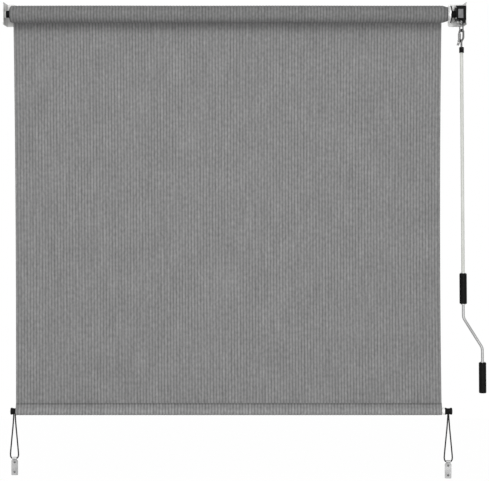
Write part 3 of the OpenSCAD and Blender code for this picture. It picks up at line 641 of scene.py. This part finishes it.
hangingCloth = {
    "flat": (1.535, 1.390),
    "rows": 37,
    "thick": 0.0012,
    "back": 0.00035,       # the ribs stand forward from here
    "slant": 0.0095,       # the left edge draws in by this much
    "bow": {"left": 0.0025, "right": 0.005},   # how far the edges curve in between
    "smoothBelow": 60,     # degrees
    "ripple": 0.0012,      # backwards only, so that the cloth clears the roll when it is up
    "waves": [(23, 1.3, 1.1, 1.0), (41, 0.4, -2.2, 0.6)],   # turn across, start, turn down, weight
    "leftWhenUp": 0.0287,  # share of the drop still hanging when the hem is up
}

panelLow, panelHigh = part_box("shade_panel")
panelY = (panelLow[1] + panelHigh[1]) / 2
panelWidth = panelHigh[0] - panelLow[0]
panelDrop = panelHigh[2] - panelLow[2]
ribAcross, ribHeight = ribProfile(panelWidth)

panel, column, row = clothGrid("shadeCloth", len(ribAcross), hangingCloth["rows"])
fall = 1 - row / (hangingCloth["rows"] - 1)
share = ribAcross[column] / panelWidth
belly = 4 * fall * (1 - fall)     # none at the ends, 1 in the middle
leftEdge = panelLow[0] + hangingCloth["slant"] * fall + hangingCloth["bow"]["left"] * belly
rightEdge = panelHigh[0] - hangingCloth["bow"]["right"] * belly
ripple = hangingCloth["ripple"] * belly * sum(
    weight * (1 + np.sin(share * turn + start + fall * drift))
    for turn, start, drift, weight in hangingCloth["waves"])
places = np.stack([
    leftEdge + (rightEdge - leftEdge) * share,
    panelY + hangingCloth["back"] - ribHeight[column] + ripple,
    panelHigh[2] - panelDrop * fall], axis=1)
metres = np.stack([ribAcross[column], panelDrop * fall], axis=1)
shapeCloth(panel, places, metres, np.ones(len(places)))
thicken = panel.modifiers.new("thickness", "SOLIDIFY")
thicken.thickness = hangingCloth["thick"]
thicken.offset = 0
applyAll(panel)
cleanNormals(panel)
smoothSides(panel, hangingCloth["smoothBelow"])
setMaterial(panel, finishes["knittedCloth"])
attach(panel, "brackets")
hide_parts("shade_panel")
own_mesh(panel)
print("shade: hanging cloth made")


# cloth on the roller: ribs around it, the edges of its turns stepping down at both ends

woundCloth = {
    "turns": 5,
    "around": 72,
    "leftTaper": 0.005,
    "rightTaper": 0.0165,
    "leftSteep": 4,        # how squarely the turns end on each side
    "rightSteep": 1,
    "tubeRadius": 0.0225,
    "inner": 0.0018,
    "offTube": 0.0001,
    "lump": 0.00025,       # unevenness of the outer turn
    "lumpWaves": (3, 9),   # round the roll, along it in radians a metre
    "outerTurn": 0.001,
    # painted shade: the whole roll darker than the hanging cloth, which the light shines through from behind
    "tone": 0.80,
    "paintedEdgeShade": 0.70,
    "smoothBelow": 50,     # degrees
}

rollLow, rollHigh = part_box("fabric_roll")
rollerY = (rollLow[1] + rollHigh[1]) / 2
rollerZ = (rollLow[2] + rollHigh[2]) / 2
rollRadius = (rollHigh[2] - rollLow[2]) / 2
rollStart = rollLow[0] + woundCloth["leftTaper"]
rollEnd = rollHigh[0] - woundCloth["rightTaper"]


def turnEdges(reach, steep):
    steps = []
    base = woundCloth["tubeRadius"] + woundCloth["inner"]
    build = rollRadius - ribShape["height"] - base
    turns = woundCloth["turns"]
    for i in range(turns):
        for top in (0, 1):
            steps.append((-reach * (1 - (i / (turns - 1)) ** steep), base + build * (i + top) / turns))
    return steps


across, height = ribProfile(rollEnd - rollStart)
seat = woundCloth["tubeRadius"] + woundCloth["offTube"]
outline = [(rollLow[0], seat)]
outline += [(rollStart + x, r) for x, r in turnEdges(woundCloth["leftTaper"], woundCloth["leftSteep"])]
outline += [(rollStart + x, rollRadius - ribShape["height"] + h) for x, h in zip(across, height)][1:-1]
rightEdges = turnEdges(woundCloth["rightTaper"], woundCloth["rightSteep"])
outline += [(rollEnd - x, r) for x, r in reversed(rightEdges)]
outline += [(rollHigh[0], seat)]
outline = np.array(outline)
wound, column, row = clothGrid("woundCloth", len(outline), woundCloth["around"] + 1)
angle = 2 * math.pi * row / woundCloth["around"]
radius = outline[column, 1]
roundWaves, alongWaves = woundCloth["lumpWaves"]
length = outline[column, 0]
lumpy = np.sin(angle * roundWaves + length * alongWaves) * (radius > rollRadius - woundCloth["outerTurn"])
radius = radius + woundCloth["lump"] * (lumpy - 1)
places = np.stack([
    length,
    rollerY + radius * np.sin(angle),
    rollerZ + radius * np.cos(angle)], axis=1)
metres = np.stack([length - rollStart, angle * rollRadius], axis=1)
# painted shade on the roll, darkest on the stepped edges of its turns
atEdge = (length < rollStart) | (length > rollEnd)
shapeCloth(wound, places, metres, np.where(atEdge, woundCloth["paintedEdgeShade"], woundCloth["tone"]))
cleanNormals(wound)
smoothSides(wound, woundCloth["smoothBelow"])
setMaterial(wound, finishes["knittedCloth"])
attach(wound, "roller")
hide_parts("fabric_roll")
print("shade: wound cloth made")


# hem pocket: cloth folded round the hem tube, closed by a seam

hemPocket = {
    "radius": 0.0138,
    "thick": 0.0012,
    "seamHalf": 0.0016,
    "around": 26,
    # a band along the seam darkened: the stitched seam's own darker line, with painted shade in the groove
    # of the fold
    "seamTone": 0.62,
    "seamBand": 0.0045,
    "paintedUnderLight": 1.2,       # painted light: paler round the lower part of the pocket, as if lit from below
    "paintedUnderLightSpan": (0.014, 0.022),
    "apex": 0.003,         # the sides would meet this far above the seam
    "sideShares": (0.12, 0.3, 0.55, 0.8),
    "ribShare": 0.8,       # how much of a rib and of the thickness shows here
    "smoothBelow": 50,     # degrees
}

pocketLow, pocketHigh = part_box("hem_pocket")
seamZ = pocketHigh[2]
pocketRise = seamZ - hemZ
lean = math.asin(hemPocket["radius"] / (pocketRise + hemPocket["apex"]))
seamPlace = np.array((-hemPocket["seamHalf"], pocketRise))
touchPlace = hemPocket["radius"] * np.array((-math.cos(lean), math.sin(lean)))
flank = [seamPlace] + [seamPlace + (touchPlace - seamPlace) * t for t in hemPocket["sideShares"]]
bend = np.linspace(math.pi - lean, 2 * math.pi + lean, hemPocket["around"] + 1)
bottom = hemPocket["radius"] * np.stack([np.cos(bend), np.sin(bend)], axis=1)
fold = np.concatenate([flank, bottom, [(-y, z) for y, z in reversed(flank)]])
along = np.concatenate([[0], np.cumsum(np.hypot(*np.diff(fold, axis=0).T))])
across, height = ribProfile(pocketHigh[0] - pocketLow[0])
pocket, column, row = clothGrid("hemPocketCloth", len(across), len(fold))
slope = np.gradient(fold, axis=0)
outward = np.stack([slope[:, 1], -slope[:, 0]], axis=1)
outward /= np.linalg.norm(outward, axis=1)[:, None]
outward *= np.sign(np.sum(outward * fold, axis=1))[:, None]
rib = hemPocket["ribShare"] * height[column][:, None] * outward[row]
places = np.stack([
    pocketLow[0] + across[column],
    hemY + fold[row, 0] + rib[:, 0],
    hemZ + fold[row, 1] + rib[:, 1]], axis=1)
metres = np.stack([across[column], along[row]], axis=1)
fromSeam = pocketRise - fold[row, 1]
# painted light: the pocket paler from 14 mm below the seam down round its bottom, as if lit from below
paintedUnderLight = np.interp(fromSeam, hemPocket["paintedUnderLightSpan"], (1.0, hemPocket["paintedUnderLight"]))
inSeam = fromSeam < hemPocket["seamBand"]
shapeCloth(pocket, places, metres, np.where(inSeam, hemPocket["seamTone"], paintedUnderLight))
thicken = pocket.modifiers.new("thickness", "SOLIDIFY")
thicken.thickness = hemPocket["thick"] * hemPocket["ribShare"]
thicken.offset = -1
cleanNormals(pocket)
applyAll(pocket)
smoothSides(pocket, hemPocket["smoothBelow"])
setMaterial(pocket, finishes["knittedCloth"])
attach(pocket, "hem")
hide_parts("hem_pocket")
print("shade: hem pocket made")


# seam stitches: one stitch, repeated along the pocket

seamStitch = {
    "length": 0.0034,
    "radius": 0.0004,
    "sides": 6,
    "roundShare": 0.5,
    "gap": 0.0046,
    "below": 0.0032,
    "proud": 0.0011,
    "inset": 0.004,        # from either end of the pocket
}

clearPick()
bpy.ops.mesh.primitive_cylinder_add(vertices=seamStitch["sides"], radius=seamStitch["radius"],
                                    depth=seamStitch["length"], rotation=(0, math.pi / 2, 0))
stitches = bpy.context.object
stitches.name = "seamStitches"
pick(stitches)
bpy.ops.object.mode_set(mode="EDIT")
bpy.ops.mesh.select_all(action="SELECT")
bpy.ops.mesh.bevel(offset=seamStitch["radius"] * seamStitch["roundShare"], segments=1)
bpy.ops.object.mode_set(mode="OBJECT")
stitches.location = (
    pocketLow[0] + seamStitch["inset"],
    hemY - hemPocket["seamHalf"] - seamStitch["proud"],
    seamZ - seamStitch["below"])
placeInMesh(stitches)
rowOfStitches = stitches.modifiers.new("row", "ARRAY")
rowOfStitches.use_relative_offset = False
rowOfStitches.use_constant_offset = True
rowOfStitches.constant_offset_displace = (seamStitch["gap"], 0, 0)
rowOfStitches.count = int((pocketHigh[0] - pocketLow[0] - 2 * seamStitch["inset"]) / seamStitch["gap"])
applyAll(stitches)
setMaterial(stitches, finishes["seamThread"])
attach(stitches, "hem")
print("shade: seam stitched")


# studio: a pale floor under the shade, a white surround, soft light from the front

studio = {
    "floorPlace": (0, -0.9, -1.72),
    "floorSize": 5.0,
    "floorTone": (0.9, 0.9, 0.9, 1),
    "floorRough": 0.7,
    "floorGlow": 0.98,      # how white the camera sees the floor
    "ambient": 0.66,
    "lamps": {
        "keyLamp": {"place": (-1.1, -4.0, 2.2), "aim": (0, 0, -0.5), "size": 2.2, "power": 120},
        "fillLamp": {"place": (1.6, -4.2, -0.6), "aim": (0, 0, -0.7), "size": 2.4, "power": 46},
        "lowLamp": {"place": (0, -2.4, -1.66), "aim": (0, 0, -1.2), "size": 1.8, "power": 18},
    },
}


def seenDirectly(tree):
    path = addNode(tree, "ShaderNodeLightPath").outputs
    seen = doMath(tree, "MAXIMUM", path["Is Camera Ray"], path["Is Glossy Ray"])
    return doMath(tree, "MAXIMUM", seen, path["Is Transmission Ray"])


clearPick()
bpy.ops.mesh.primitive_plane_add(size=studio["floorSize"], location=studio["floorPlace"])
floor = bpy.context.object
floor.name = "studioFloor"
placeInMesh(floor)
paleFloor, tree, shader = startMaterial("paleFloor")
shader.inputs["Base Color"].default_value = studio["floorTone"]
shader.inputs["Roughness"].default_value = studio["floorRough"]
glow = addNode(tree, "ShaderNodeEmission")
glow.inputs["Strength"].default_value = 1
blend = addNode(tree, "ShaderNodeMixShader")
tree.links.new(doMath(tree, "MULTIPLY", seenDirectly(tree), studio["floorGlow"]), blend.inputs["Fac"])
tree.links.new(shader.outputs["BSDF"], blend.inputs[1])
tree.links.new(glow.outputs["Emission"], blend.inputs[2])
tree.links.new(blend.outputs["Shader"], tree.nodes["Material Output"].inputs["Surface"])
setMaterial(floor, paleFloor)

world = bpy.data.worlds.new("studioWorld")
bpy.context.scene.world = world
world.use_nodes = True
tree = world.node_tree
sky = tree.nodes["Background"]
sky.inputs["Color"].default_value = (1, 1, 1, 1)
tree.links.new(remap(tree, seenDirectly(tree), 0, 1, studio["ambient"], 1), sky.inputs["Strength"])


def aimAt(obj, target):
    away = np.array(obj.location) - np.array(target)
    flat = math.hypot(away[0], away[1])
    obj.rotation_euler = (math.atan2(flat, away[2]), 0, math.atan2(away[0], -away[1]))


for name, lamp in studio["lamps"].items():
    bpy.ops.object.light_add(type="AREA", location=lamp["place"])
    light = bpy.context.object
    light.name = name
    light.data.size = lamp["size"]
    light.data.energy = lamp["power"]
    aimAt(light, lamp["aim"])

bpy.context.scene.view_settings.view_transform = "Standard"
print("shade: studio lit")
